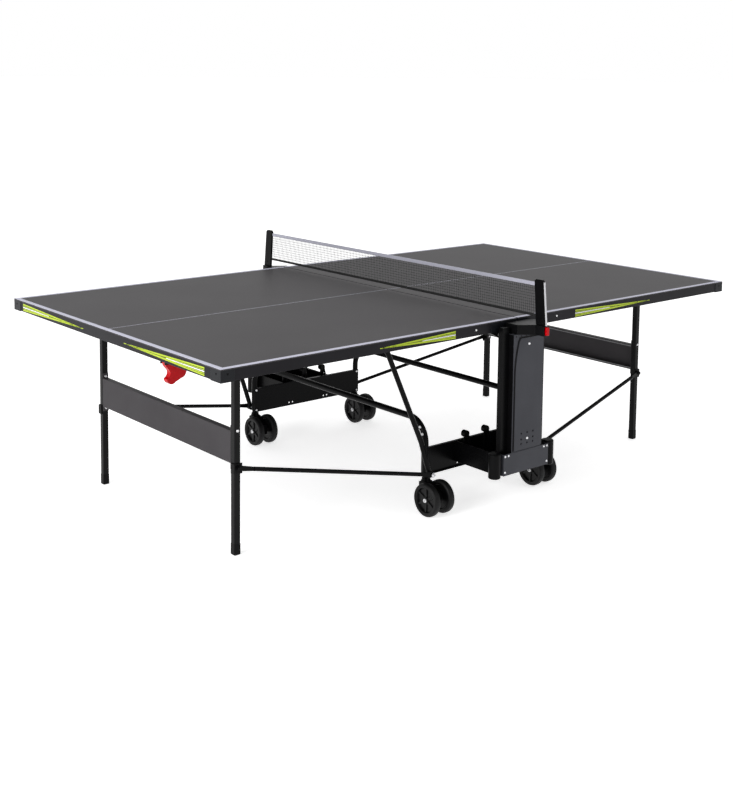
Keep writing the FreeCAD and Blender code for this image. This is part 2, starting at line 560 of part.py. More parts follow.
tyre = doc.addObject("Part::Fillet", "TyreRound")
tyre.Base = bar("x", "wheel_plane - wheel_wide / 2", "-caster_trail", "wheel_radius", "wheel_wide",
                "wheel_radius")
doc.recompute()
tyre.Edges = [(index + 1, 6, 6) for index, edge in enumerate(tyre.Base.Shape.Edges)
              if edge.Curve.TypeId == "Part::GeomCircle"]
dish = cut(bar("x", "wheel_plane + wheel_wide / 2 - 8", "-caster_trail", "wheel_radius", "9", "52"),
           bar("x", "wheel_plane - wheel_wide / 2", "-caster_trail", "wheel_radius", "wheel_wide + 2", "16"))
wheel = cut(tyre, dish)
other_wheel = doc.addObject("Part::Mirroring", "OtherWheel")
other_wheel.Source = wheel
other_wheel.Normal = FreeCAD.Vector(1, 0, 0)
axle = bar("x", "-wheel_plane - wheel_wide / 2 - 1.5", "-caster_trail", "wheel_radius",
           "2 * wheel_plane + wheel_wide + 3", "axle_radius")
wheel_set = fuse(wheel, other_wheel, axle)

for side, x in (("left", "-caster_x"), ("right", "caster_x")):
    for row, y in (("near", "-caster_y"), ("far", "caster_y")):
        subpart("caster_fork_%s_%s" % (row, side), put(group(fork), x, y, "0"))
        subpart("caster_wheels_%s_%s" % (row, side), put(group(wheel_set), x, y, "0"))

# --- Check and write every piece ----------------------------------------------------
doc.recompute()
for obj in doc.Objects:
    if "Invalid" in obj.State or "Error" in obj.State:
        raise RuntimeError("failed: %s %s %s" % (obj.Name, obj.Label, obj.State))
os.makedirs("parts", exist_ok=True)
for name, obj in SUBPARTS:
    shape = obj.Shape
    if shape.isNull() or not shape.isValid() or not shape.Solids:
        raise RuntimeError("bad shape: " + name)
for name, obj in SUBPARTS:
    obj.Shape.exportStep("parts/%s.step" % name)
print(len(SUBPARTS), "pieces written")
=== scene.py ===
"""Looks of a rollaway ping pong table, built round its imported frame.

Metres, Z up, X along the table, Y across it, the origin on the floor under the middle of the net.
The left half is -X and the near side is -Y.
"""
import math

import bmesh
import bpy
from mathutils import Euler, Matrix, Vector


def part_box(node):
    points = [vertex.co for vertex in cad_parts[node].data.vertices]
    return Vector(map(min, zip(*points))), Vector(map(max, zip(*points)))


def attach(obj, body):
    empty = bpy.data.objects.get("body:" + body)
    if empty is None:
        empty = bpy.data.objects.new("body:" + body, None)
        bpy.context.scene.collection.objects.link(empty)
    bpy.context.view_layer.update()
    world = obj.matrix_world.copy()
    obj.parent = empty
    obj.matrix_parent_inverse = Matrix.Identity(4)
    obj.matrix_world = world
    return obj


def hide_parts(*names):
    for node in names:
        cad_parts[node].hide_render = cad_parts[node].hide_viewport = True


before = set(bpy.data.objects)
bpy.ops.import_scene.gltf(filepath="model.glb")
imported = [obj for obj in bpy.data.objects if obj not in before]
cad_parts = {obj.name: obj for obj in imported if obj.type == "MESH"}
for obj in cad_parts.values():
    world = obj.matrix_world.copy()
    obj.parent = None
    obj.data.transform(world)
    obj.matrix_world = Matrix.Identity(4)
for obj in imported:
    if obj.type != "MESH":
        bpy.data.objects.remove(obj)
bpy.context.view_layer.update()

# --- Wheel frames -----------------------------------------------------------------------------
# Two arches of 25 mm round steel tube that carry the whole table on its casters.
# Each is bent from one length, powder coated black, and drilled for bracket bolts.


def add_node(material, kind, sockets=(), **settings):
    """Adds a shader node; sockets gives each input a number, a colour or another node's output."""
    made = material.node_tree.nodes.new("ShaderNode" + kind)
    for name, value in settings.items():
        setattr(made, name, value)
    for name, value in dict(sockets).items():
        if isinstance(value, bpy.types.NodeSocket):
            material.node_tree.links.new(value, made.inputs[name])
        else:
            made.inputs[name].default_value = value
    return made


def feed(material, **outputs):
    """Runs node outputs into the material's shader; base_color stands for Base Color."""
    shader = material.node_tree.nodes["Principled BSDF"]
    for name, output in outputs.items():
        material.node_tree.links.new(output, shader.inputs[name.replace("_", " ").title()])


def coated(name, dark, light, roughness, grain, relief, specular=0.5, drift=4.0):
    """A painted or moulded finish: a tone that drifts slowly, and fine grain in gloss and relief."""
    material = bpy.data.materials.new(name)
    material.use_nodes = True
    place = add_node(material, "TexCoord").outputs["Object"]
    cloud = add_node(material, "TexNoise", {"Vector": place, "Scale": drift, "Detail": 5.0})
    tone = add_node(material, "ValToRGB", {"Fac": cloud.outputs["Fac"]})
    tone.color_ramp.elements[0].position = 0.35
    tone.color_ramp.elements[0].color = (*dark, 1)
    tone.color_ramp.elements[1].position = 0.65
    tone.color_ramp.elements[1].color = (*light, 1)
    speck = add_node(material, "TexNoise", {"Vector": place, "Scale": grain, "Detail": 2.0})
    gloss = add_node(material, "MapRange", {"Value": speck.outputs["Fac"], "To Min": roughness - 0.08,
                                            "To Max": roughness + 0.08})
    bump = add_node(material, "Bump", {"Height": speck.outputs["Fac"], "Strength": 0.6, "Distance": relief})
    feed(material, base_color=tone.outputs["Color"], roughness=gloss.outputs["Result"],
         normal=bump.outputs["Normal"])
    material.node_tree.nodes["Principled BSDF"].inputs["Specular IOR Level"].default_value = specular
    return material


def joined_copy(node):
    """A bmesh of a CAD node with its triangles joined up and each flat area one face again."""
    bm = bmesh.new()
    bm.from_mesh(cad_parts[node].data)
    bmesh.ops.remove_doubles(bm, verts=bm.verts, dist=0.00001)
    bmesh.ops.dissolve_limit(bm, angle_limit=math.radians(1), verts=bm.verts, edges=bm.edges)
    return bm


def make_piece(bm, name, material, sharp=35):
    """Makes the bmesh a finished object, smooth but for its sharp edges."""
    mesh = bpy.data.meshes.new(name)
    bm.to_mesh(mesh)
    bm.free()
    mesh.shade_smooth()
    mesh.set_sharp_from_angle(angle=math.radians(sharp))
    mesh.materials.append(material)
    piece = bpy.data.objects.new(name, mesh)
    bpy.context.scene.collection.objects.link(piece)
    even = piece.modifiers.new("even_normals", "WEIGHTED_NORMAL")
    even.keep_sharp = True
    return piece


black_coat = coated("black_powder_coat", (0.0016, 0.0016, 0.0018), (0.0032, 0.0032, 0.0036),
                    0.28, 900, 0.00004, specular=0.07)
for side in ("left", "right"):
    arch = make_piece(joined_copy("wheel_frame_" + side), "wheel_frame_tube_" + side, black_coat)
    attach(arch, "base")
    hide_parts("wheel_frame_" + side)

# --- Base sheet metal -------------------------------------------------------------------------
# Inner panels, side walls and guide rails are folded from 2 mm steel sheet, coated black.
# The outer base plates are coated anthracite; every folded edge keeps a small radius.


def soften(bm, width, segments=2, turn=30):
    """Rounds every edge that turns by more than the given angle."""
    edges = [e for e in bm.edges if e.is_manifold and e.calc_face_angle() > math.radians(turn)]
    bmesh.ops.bevel(bm, geom=edges, offset=width, offset_type="OFFSET", affect="EDGES", segments=segments,
                    profile=0.5, material=-1, clamp_overlap=True)


anthracite = coated("anthracite_powder_coat", (0.036, 0.037, 0.044), (0.045, 0.046, 0.054), 0.42, 1100,
                    0.00004, specular=0.12)
for node, name, width in (("inner_panels", "inner_panel_sheets", 0.0006),
                          ("base_walls", "base_side_walls", 0.0006),
                          ("guide_rails", "column_guide_rails", 0.0005)):
    sheet_metal = joined_copy(node)
    soften(sheet_metal, width)
    folded = make_piece(sheet_metal, name, black_coat)
    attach(folded, "base")
    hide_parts(node)

plates = joined_copy("base_plates")
soften(plates, 0.0006)
base_plates = make_piece(plates, "base_outer_plates", anthracite)
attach(base_plates, "base")
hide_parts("base_plates")

# --- Moulded base corners and ball trays ------------------------------------------------------
# Round corner posts close the base beside each outer plate, and a deep tray lies between
# the inner panel and the column. Both are injection moulded in black polypropylene.
moulded_black = coated("moulded_black_plastic", (0.0016, 0.0016, 0.0018), (0.0034, 0.0034, 0.0038),
                       0.34, 1500, 0.00005, specular=0.07)
for node, name in (("base_corner_caps", "base_corner_posts"), ("ball_trays", "ball_tray_bins")):
    moulding = joined_copy(node)
    if node == "ball_trays":
        soften(moulding, 0.0010)
    moulded = make_piece(moulding, name, moulded_black)
    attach(moulded, "base")
    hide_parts(node)

# --- Tray clips -------------------------------------------------------------------------------
# Three clips stand in each tray behind the inner panel: a round knob on a tapered stalk,
# with two sloping prongs that hold a bat by its handle. Moulded in one with the tray.
PRONG_REACH = 0.020
PRONG_DROP = 0.044


def solids(node):
    """The lowest and highest corner of each separate solid of a CAD node."""
    bm = joined_copy(node)
    waiting = set(bm.verts)
    found = []
    while waiting:
        reached = {waiting.pop()}
        edge_of_it = set(reached)
        while edge_of_it:
            beside = {e.other_vert(v) for v in edge_of_it for e in v.link_edges}
            edge_of_it = beside - reached
            reached |= beside
        waiting -= reached
        found.append((Vector([min(v.co[i] for v in reached) for i in range(3)]),
                      Vector([max(v.co[i] for v in reached) for i in range(3)])))
    bm.free()
    return sorted(found, key=lambda corners: tuple(corners[0]))


def block(bm, low, high):
    """A rectangular block between two corners."""
    low = Vector(low)
    high = Vector(high)
    made = bmesh.ops.create_cube(bm, size=1)
    bmesh.ops.scale(bm, vec=high - low, verts=made["verts"])
    bmesh.ops.translate(bm, vec=(low + high) / 2, verts=made["verts"])
    return made["verts"]


def round_bar(bm, start, end, radius, end_radius=None, segments=32):
    """A round bar, or a cone, between two points."""
    start = Vector(start)
    along = Vector(end) - start
    turn = along.to_track_quat("Z", "Y").to_matrix().to_4x4()
    made = bmesh.ops.create_cone(bm, cap_ends=True, cap_tris=False, segments=segments,
                                 radius1=radius, radius2=radius if end_radius is None else end_radius,
                                 depth=along.length, matrix=Matrix.Translation(start + along / 2) @ turn)
    return made["verts"]


clips = bmesh.new()
for low, high in solids("tray_clips"):
    middle = (low + high) / 2
    knob_radius = (high.x - low.x) / 2
    knob_z = high.z - knob_radius
    round_bar(clips, (middle.x, low.y, knob_z), (middle.x, high.y, knob_z), knob_radius)
    stalk = block(clips, (middle.x - 0.011, middle.y - 0.003, low.z),
                  (middle.x + 0.011, middle.y + 0.003, knob_z))
    bmesh.ops.scale(clips, vec=(0.6, 1, 1), space=Matrix.Translation((-middle.x, 0, 0)),
                    verts=[v for v in stalk if v.co.z > middle.z])
    for y in (low.y + 0.003, high.y - 0.003):
        round_bar(clips, (middle.x + 0.006, y, knob_z), (middle.x + PRONG_REACH, y, knob_z - PRONG_DROP),
                  0.0055, 0.0035, segments=16)
soften(clips, 0.0012)
tray_clips = make_piece(clips, "bat_holder_clips", moulded_black)
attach(tray_clips, "base")
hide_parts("tray_clips")

# --- Screws and pivot bolts -------------------------------------------------------------------
# Pan head screws hold the plates, panels and covers, and four hex bolts with washers carry
# the struts and rods. All are steel, zinc plated, with a press-formed socket in each head.
zinc = bpy.data.materials.new("zinc_plating")
zinc.use_nodes = True
zinc_place = add_node(zinc, "TexCoord").outputs["Object"]
zinc_cloud = add_node(zinc, "TexNoise", {"Vector": zinc_place, "Scale": 700.0, "Detail": 3.0})
zinc_tone = add_node(zinc, "ValToRGB", {"Fac": zinc_cloud.outputs["Fac"]})
zinc_tone.color_ramp.elements[0].color = (0.62, 0.62, 0.64, 1)
zinc_tone.color_ramp.elements[1].color = (0.86, 0.86, 0.87, 1)
zinc_gloss = add_node(zinc, "MapRange", {"Value": zinc_cloud.outputs["Fac"], "To Min": 0.25, "To Max": 0.5})
feed(zinc, base_color=zinc_tone.outputs["Color"], roughness=zinc_gloss.outputs["Result"])
zinc.node_tree.nodes["Principled BSDF"].inputs["Metallic"].default_value = 0.85


def screw_head(bm, point, out, radius, height, sides=20):
    """A round or hexagonal head with a socket, standing on a surface and facing out."""
    point = Vector(point)
    out = Vector(out)
    verts = round_bar(bm, point, point + out * height, radius, radius * 0.8, sides)
    faces = {f for v in verts for f in v.link_faces}
    top = max(faces, key=lambda f: f.calc_center_median().dot(out))
    bmesh.ops.inset_individual(bm, faces=[top], thickness=radius * 0.32)
    bmesh.ops.inset_individual(bm, faces=[top], thickness=radius * 0.04, depth=-height * 0.6)


heads = bmesh.new()
for low, high in solids("base_screws"):
    middle = (low + high) / 2
    outward = math.copysign(1, middle.y) if abs(middle.y) > 0.6 else -math.copysign(1, middle.y)
    seat = Vector((middle.x, low.y if outward > 0 else high.y, middle.z))
    screw_head(heads, seat, (0, outward, 0), (high.x - low.x) / 2, high.y - low.y)
base_screws = make_piece(heads, "base_screw_heads", zinc)
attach(base_screws, "base")
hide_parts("base_screws")

bolts = bmesh.new()
for low, high in solids("pivot_bolts"):
    middle = (low + high) / 2
    side_y = math.copysign(1, middle.y)
    outer_y = high.y if side_y > 0 else low.y
    inner_y = low.y if side_y > 0 else high.y
    head_y = outer_y - side_y * 0.006
    round_bar(bolts, (middle.x, inner_y, middle.z), (middle.x, head_y, middle.z), 0.005)
    round_bar(bolts, (middle.x, head_y - side_y * 0.0012, middle.z), (middle.x, head_y, middle.z), 0.009)
    screw_head(bolts, (middle.x, head_y, middle.z), (0, side_y, 0), 0.0085, 0.006, sides=6)
pivot_bolts = make_piece(bolts, "pivot_bolt_set", zinc)
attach(pivot_bolts, "base")
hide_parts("pivot_bolts")

arch_low, arch_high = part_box("wheel_frame_left")
arch_bolts = bmesh.new()
for end in (-1, 1):
    for away_from_end, z in ((0.032, 0.333), (0.018, 0.308)):
        for x, out in ((arch_low.x, -1), (-arch_low.x, 1)):
            screw_head(arch_bolts, (x + out * -0.0008, end * (arch_high.y - away_from_end), z), (out, 0, 0),
                       0.0055, 0.0035)
frame_bolts = make_piece(arch_bolts, "wheel_frame_bolt_heads", zinc)
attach(frame_bolts, "base")

# --- Casters ----------------------------------------------------------------------------------
# Each foot of the base has a swivelling fork with two 130 mm wheels: a black plastic hub with
# six ribs, a soft grey-black tread moulded round it, and a plated axle pressed through both.
SPOKES = 6
TREAD = 0.011
WHEEL_WIDTH = 0.028
tread_rubber = coated("tread_rubber", (0.0040, 0.0040, 0.0043), (0.0080, 0.0080, 0.0085), 0.5, 800, 0.00008,
                      specular=0.16)
wheel_plastic = coated("hub_plastic", (0.0024, 0.0024, 0.0026), (0.0050, 0.0050, 0.0054), 0.3, 1300, 0.00004,
                       specular=0.18)


def revolve(bm, profile, centre, steps=64):
    """Spins an outline of (along the axle, radius) points round an axle that runs along X."""
    rim_verts = [bm.verts.new(centre + Vector((along, 0, radius))) for along, radius in profile]
    rim_edges = [bm.edges.new(pair) for pair in zip(rim_verts, rim_verts[1:] + rim_verts[:1])]
    bmesh.ops.spin(bm, geom=rim_verts + rim_edges, cent=centre, axis=(1, 0, 0), angle=2 * math.pi,
                   steps=steps, use_merge=True)


def wheel_pair(place):
    """The hubs, treads and axle of one caster, in the space of its CAD node."""
    low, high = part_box("caster_wheels_" + place)
    centre = (low + high) / 2
    radius = (high.z - low.z) / 2
    edge = WHEEL_WIDTH / 2
    plane = (high.x - low.x) / 2 - 0.0015 - edge
    hubs = bmesh.new()
    treads = bmesh.new()
    for out in (-1, 1):
        hub = centre + Vector((out * plane, 0, 0))
        seat = radius - TREAD
        revolve(treads, [(out * edge * 0.96, seat), (out * edge, radius - 0.007),
                         (out * edge * 0.78, radius - 0.0018), (out * edge * 0.4, radius),
                         (-out * edge * 0.4, radius),
                         (-out * edge * 0.78, radius - 0.0018), (-out * edge, radius - 0.007),
                         (-out * edge * 0.96, seat)], hub)
        revolve(hubs, [(out * 0.012, 0.006), (out * 0.012, 0.013), (out * 0.0045, 0.016),
                       (out * 0.0035, seat - 0.009), (out * 0.0125, seat - 0.005),
                       (out * 0.0125, seat + 0.0005),
                       (-out * 0.0125, seat + 0.0005), (-out * 0.0125, seat - 0.005),
                       (-out * 0.006, seat - 0.009), (-out * 0.006, 0.016), (-out * 0.0125, 0.014),
                       (-out * 0.0125, 0.006)], hub)
        for spoke in range(SPOKES):
            verts = block(hubs, hub + Vector((out * 0.0005 - 0.001, -0.0055, 0.013)),
                          hub + Vector((out * 0.0095 + 0.001, 0.0055, seat - 0.006)))
            bmesh.ops.scale(hubs, vec=(1, 0.45, 1), space=Matrix.Translation(-hub),
                            verts=[v for v in verts if v.co.z > hub.z + 0.03])
            bmesh.ops.rotate(hubs, cent=hub, verts=verts,
                             matrix=Matrix.Rotation(2 * math.pi * spoke / SPOKES, 3, "X"))
    for bm in (hubs, treads):
        bmesh.ops.recalc_face_normals(bm, faces=bm.faces)
    axle = bmesh.new()
    round_bar(axle, (low.x + 0.0015, centre.y, centre.z), (high.x - 0.0015, centre.y, centre.z), 0.006)
    for x, out in ((low.x, -1), (high.x, 1)):
        screw_head(axle, (x - out * 0.0025, centre.y, centre.z), (out, 0, 0), 0.0085, 0.0025)
    return hubs, treads, axle


for place in ("near_left", "near_right", "far_left", "far_right"):
    hub_mesh, tread_mesh, axle_mesh = wheel_pair(place)
    hub_piece = make_piece(hub_mesh, "caster_hubs_" + place, wheel_plastic, sharp=28)
    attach(hub_piece, "wheels_" + place)
    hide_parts("caster_wheels_" + place)
    tread_piece = make_piece(tread_mesh, "caster_treads_" + place, tread_rubber)
    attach(tread_piece, "wheels_" + place)
    axle_piece = make_piece(axle_mesh, "caster_axle_" + place, zinc)
    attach(axle_piece, "wheels_" + place)
    fork = joined_copy("caster_fork_" + place)
    soften(fork, 0.0008)
    fork_piece = make_piece(fork, "caster_fork_body_" + place, moulded_black)
    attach(fork_piece, "fork_" + place)
    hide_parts("caster_fork_" + place)

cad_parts["caster_sockets"].data.materials.clear()
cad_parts["caster_sockets"].data.materials.append(moulded_black)

# --- Columns and covers -----------------------------------------------------------------------
# A folded steel column stands on each side and carries the net. A raised cover with a curved shoulder is
# screwed to its face. A row of small black discs along its top is painted shade, the dark of its spare holes.
COVER_TOP_DROP = 0.009


def lower_top(bm):
    """Brings the straight top edge of the covers down a little, clear of the spare holes."""
    top_z = max(v.co.z for v in bm.verts)
    bmesh.ops.translate(bm, vec=(0, 0, -COVER_TOP_DROP),
                        verts=[v for v in bm.verts if v.co.z > top_z - 0.002])


for node, name, width in (("columns", "column_boxes", 0.0008),
                          ("column_covers", "column_face_covers", 0.0007)):
    column_sheet = joined_copy(node)
    if node == "column_covers":
        lower_top(column_sheet)
    soften(column_sheet, width)
    column_piece = make_piece(column_sheet, name, anthracite)
    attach(column_piece, "base")
    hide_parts(node)

# A black sheet under the cover is painted shade: a dark line round the cover's edge, and dark behind its
# holes.
cover_shade_sheet = joined_copy("column_covers")
lower_top(cover_shade_sheet)
cover_low, cover_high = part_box("column_covers")
for v in cover_shade_sheet.verts:
    outward = math.copysign(1, v.co.y)
    corner = Vector((-outward * cover_high.x, 0, cover_low.z))
    v.co.x = corner.x + (v.co.x - corner.x) * 1.036
    v.co.z = corner.z + (v.co.z - corner.z) * 1.012
    v.co.y = outward * (cover_high.y - 0.0035 + (abs(v.co.y) - cover_high.y + 0.0035) * 0.5)
cover_shade_piece = make_piece(cover_shade_sheet, "column_cover_painted_shade", moulded_black)
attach(cover_shade_piece, "base")

# Thin black sheets on both sides of each column are painted shade, darkening its side faces.
SIDE_SHADE_DEPTH = 0.0003
side_shade_sheets = bmesh.new()
for low, high in solids("columns"):
    block(side_shade_sheets, (low.x - SIDE_SHADE_DEPTH, low.y + 0.002, low.z), (low.x, high.y - 0.002, high.z - 0.001))
    block(side_shade_sheets, (high.x, low.y + 0.002, low.z), (high.x + SIDE_SHADE_DEPTH, high.y - 0.002, high.z - 0.001))
side_shade_piece = make_piece(side_shade_sheets, "column_side_painted_shade", moulded_black)
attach(side_shade_piece, "base")

# Black discs along the column top: painted shade for the dark of the spare holes.
hole_shade_dots = bmesh.new()
column_low, column_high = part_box("columns")
for face_y in (column_low.y, column_high.y):
    outward = math.copysign(1, face_y)
    for x in (-0.070, -0.042, -0.014, 0.014, 0.042, 0.070):
        screw_head(hole_shade_dots, (x, face_y - outward * 0.0005, column_high.z - 0.0085), (0, outward, 0),
                   0.0034, 0.0012)
hole_shade_piece = make_piece(hole_shade_dots, "column_hole_painted_shade", moulded_black)
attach(hole_shade_piece, "base")

# --- Playing halves ---------------------------------------------------------------------------
# Each half is a 5 mm weatherproof sheet with a fine satin anthracite lacquer, on which the
# 20 mm border and the 3 mm centre line are printed in white. It is glued to the steel rim.
BORDER = 0.020
CENTRE_LINE = 0.003


def printed_lacquer(low, high):
    """Anthracite lacquer with the court lines, placed by the half's own coordinates."""
    material = bpy.data.materials.new("lacquer_with_court_lines")
    material.use_nodes = True
    place = add_node(material, "TexCoord").outputs["Object"]
    axes = add_node(material, "SeparateXYZ", {"Vector": place})
    x = add_node(material, "Math", {0: axes.outputs["X"]}, operation="ABSOLUTE").outputs[0]
    y = add_node(material, "Math", {0: axes.outputs["Y"]}, operation="ABSOLUTE").outputs[0]
    end_line = add_node(material, "Math", {0: x, 1: -low.x - BORDER}, operation="GREATER_THAN").outputs[0]
    side_line = add_node(material, "Math", {0: y, 1: high.y - BORDER}, operation="GREATER_THAN").outputs[0]
    middle = add_node(material, "Math", {0: y, 1: CENTRE_LINE / 2}, operation="LESS_THAN").outputs[0]
    lines = add_node(material, "Math", {0: end_line, 1: side_line}, operation="MAXIMUM").outputs[0]
    lines = add_node(material, "Math", {0: lines, 1: middle}, operation="MAXIMUM").outputs[0]
    upper = add_node(material, "Math", {0: axes.outputs["Z"], 1: high.z - 0.0006},
                     operation="GREATER_THAN").outputs[0]
    printed = add_node(material, "Math", {0: lines, 1: upper}, operation="MULTIPLY").outputs[0]
    cloud = add_node(material, "TexNoise", {"Vector": place, "Scale": 2.5, "Detail": 5.0})
    tone = add_node(material, "ValToRGB", {"Fac": cloud.outputs["Fac"]})
    tone.color_ramp.elements[0].position = 0.3
    tone.color_ramp.elements[0].color = (0.037, 0.034, 0.037, 1)
    tone.color_ramp.elements[1].position = 0.7
    tone.color_ramp.elements[1].color = (0.044, 0.041, 0.044, 1)
    ink = add_node(material, "MixRGB", {"Fac": printed, "Color1": tone.outputs["Color"],
                                        "Color2": (0.55, 0.55, 0.66, 1)})
    speck = add_node(material, "TexNoise", {"Vector": place, "Scale": 1400.0, "Detail": 2.0})
    gloss = add_node(material, "MapRange", {"Value": speck.outputs["Fac"], "To Min": 0.42, "To Max": 0.58})
    bump = add_node(material, "Bump", {"Height": speck.outputs["Fac"], "Strength": 0.5, "Distance": 0.00005})
    feed(material, base_color=ink.outputs["Color"], roughness=gloss.outputs["Result"],
         normal=bump.outputs["Normal"])
    material.node_tree.nodes["Principled BSDF"].inputs["Specular IOR Level"].default_value = 0.14
    return material


sheet_low, sheet_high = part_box("table_top_left")
lacquer = printed_lacquer(sheet_low, sheet_high)
for side in ("left", "right"):
    low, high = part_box("table_top_" + side)
    board = bmesh.new()
    block(board, low, high)
    soften(board, 0.0006)
    sheet_piece = make_piece(board, "playing_sheet_" + side, lacquer)
    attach(sheet_piece, "half_" + side)
    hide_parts("table_top_" + side)

# --- Rims and under-frame ---------------------------------------------------------------------
# A 39 mm steel channel is bent round each half, with folded stiffeners and leg hinges welded
# across it, and slotted strut rails on the left half. All of it is powder coated a soft black.
rim_coat = coated("rim_powder_coat", (0.0075, 0.0070, 0.0088), (0.0105, 0.0100, 0.0124),
                  0.32, 1000, 0.00004, specular=0.09)
for side in ("left", "right"):
    for node, name, width in (("rim_", "rim_channel_", 0.0012),
                              ("stiffeners_", "stiffener_channels_", 0.0006),
                              ("strut_rails_", "slotted_rails_", 0.0005),
                              ("leg_hinges_", "leg_hinge_plates_", 0.0006)):
        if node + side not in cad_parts:
            continue
        under = joined_copy(node + side)
        soften(under, width)
        under_piece = make_piece(under, name + side, rim_coat if node == "rim_" else black_coat)
        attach(under_piece, "half_" + side)
        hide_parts(node + side)

# --- Rim rivets and printed streaks -----------------------------------------------------------
# White plastic rivets pin the rim near the net, and tapering green and white streaks run along
# its faces. The streaks are cut from printed foil a quarter of a millimetre thick.
FOIL = 0.00025
green_ink = coated("green_foil", (0.36, 0.46, 0.020), (0.42, 0.54, 0.028), 0.45, 1200, 0.00003, specular=0.2)
white_ink = coated("white_foil", (0.74, 0.74, 0.74), (0.82, 0.82, 0.82), 0.4, 1200, 0.00003)
# each streak: where it starts and how tall it is at the wide end, as shares of the foil's
# height, and the share of the foil's length that it runs
GREEN_STREAKS = ((0.00, 0.16, 0.90), (0.23, 0.13, 1.0), (0.64, 0.09, 0.84), (0.82, 0.18, 0.97))
WHITE_STREAKS = ((0.44, 0.12, 0.45),)


def streaks(bm, pattern, wide, tip, z_low, z_high, out):
    """Slivers that run from the wide end and close on the tip, raised on the rim's face."""
    wide = Vector(wide)
    tip = Vector(tip)
    tip_z = z_low + 0.45 * (z_high - z_low)
    for start, tall, run in pattern:
        bottom = z_low + start * (z_high - z_low)
        top = bottom + tall * (z_high - z_low)
        end = wide.lerp(tip, run)
        end_low = bottom + (tip_z - bottom) * run
        end_high = top + (tip_z + 0.0025 - top) * run if run == 1.0 else end_low + 0.002
        corners = [(wide.x, wide.y, bottom), (end.x, end.y, end_low), (end.x, end.y, end_high),
                   (wide.x, wide.y, top)]
        face = bm.faces.new([bm.verts.new(corner) for corner in corners])
        raised = bmesh.ops.extrude_face_region(bm, geom=[face])
        bmesh.ops.translate(bm, vec=Vector(out) * FOIL,
                            verts=[v for v in raised["geom"] if isinstance(v, bmesh.types.BMVert)])
    bmesh.ops.recalc_face_normals(bm, faces=bm.faces)


rim_low, rim_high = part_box("rim_left")
foil_low = rim_low.z + 0.004
foil_high = rim_high.z - 0.006
FOILS = (((-0.330, rim_low.y), (-0.700, rim_low.y), (0, -1, 0)),
         ((-0.346, rim_high.y), (-0.833, rim_high.y), (0, 1, 0)),
         ((rim_low.x, 0.681), (rim_low.x, 0.165), (-1, 0, 0)),
         ((rim_low.x, -0.665), (rim_low.x, -0.142), (-1, 0, 0)))
for side in ("left", "right"):
    half_turn = Matrix.Rotation(0 if side == "left" else math.pi, 3, "Z")
    for name, ink_material, pattern in (("green_streaks_", green_ink, GREEN_STREAKS),
                                        ("white_streaks_", white_ink, WHITE_STREAKS)):
        foil = bmesh.new()
        for wide, tip, out in FOILS:
            streaks(foil, pattern, (*wide, 0), (*tip, 0), foil_low, foil_high, out)
        bmesh.ops.rotate(foil, cent=(0, 0, 0), matrix=half_turn, verts=foil.verts)
        foil_piece = make_piece(foil, name + side, ink_material)
        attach(foil_piece, "half_" + side)
    rivets = bmesh.new()
    for x, y, out in ((-0.222, rim_low.y, -1), (-0.233, rim_high.y, 1)):
        screw_head(rivets, (x, y, 0.738), (0, out, 0), 0.0042, 0.0016)
    bmesh.ops.rotate(rivets, cent=(0, 0, 0), matrix=half_turn, verts=rivets.verts)
    rivet_piece = make_piece(rivets, "rim_rivets_" + side, white_ink)
    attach(rivet_piece, "half_" + side)

# --- Corner caps ------------------------------------------------------------------------------
# Moulded caps wrap the outer corners, and longer guards wrap the corners at the net. Each cap
# is held by a barbed tab whose small three-cornered window shows on both faces.
cap_plastic = coated("corner_cap_plastic", (0.0060, 0.0068, 0.0085), (0.0090, 0.0100, 0.0125),
                     0.3, 1400, 0.00004, specular=0.12)
window_black = coated("cap_window_black", (0.0010, 0.0010, 0.0010), (0.0020, 0.0020, 0.0020),
                      0.6, 1400, 0.00003, specular=0.05)
table_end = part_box("corner_caps_right")[1].x
END_TUCK = 0.0004


def tuck_ends(bm):
    """Draws the end faces in, so that the windows on them stay within the table's length."""
    for v in bm.verts:
        if abs(v.co.x) > table_end - 0.0002:
            v.co.x -= math.copysign(END_TUCK, v.co.x)


for side in ("left", "right"):
    caps = joined_copy("corner_caps_" + side)
    tuck_ends(caps)
    soften(caps, 0.0006)
    cap_piece = make_piece(caps, "corner_wraps_" + side, cap_plastic)
    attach(cap_piece, "half_" + side)
    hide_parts("corner_caps_" + side)

WINDOW = 0.010
for side in ("left", "right"):
    half_turn = Matrix.Rotation(0 if side == "left" else math.pi, 3, "Z")
    cap_low, cap_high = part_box("corner_caps_left")
    windows = bmesh.new()
    for end in (-1, 1):
        cap_y = cap_low.y if end < 0 else cap_high.y
        on_side = Vector((cap_low.x + 0.022, cap_y, 0.744))
        on_end = Vector((cap_low.x, cap_y - end * 0.022, 0.744))
        for start, along, out in ((on_side, Vector((1, 0, 0)), Vector((0, end, 0))),
                                  (on_end, Vector((0, -end, 0)), Vector((-1, 0, 0)))):
            corners = [start, start + along * WINDOW,
                       start + along * WINDOW / 2 - Vector((0, 0, WINDOW * 0.8))]
            face = windows.faces.new([windows.verts.new(corner) for corner in corners])
            raised = bmesh.ops.extrude_face_region(windows, geom=[face])
            bmesh.ops.translate(windows, vec=out * 0.0003,
                                verts=[v for v in raised["geom"] if isinstance(v, bmesh.types.BMVert)])
    bmesh.ops.recalc_face_normals(windows, faces=windows.faces)
    bmesh.ops.rotate(windows, cent=(0, 0, 0), matrix=half_turn, verts=windows.verts)
    tuck_ends(windows)
    window_piece = make_piece(windows, "corner_cap_windows_" + side, window_black)
    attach(window_piece, "half_" + side)

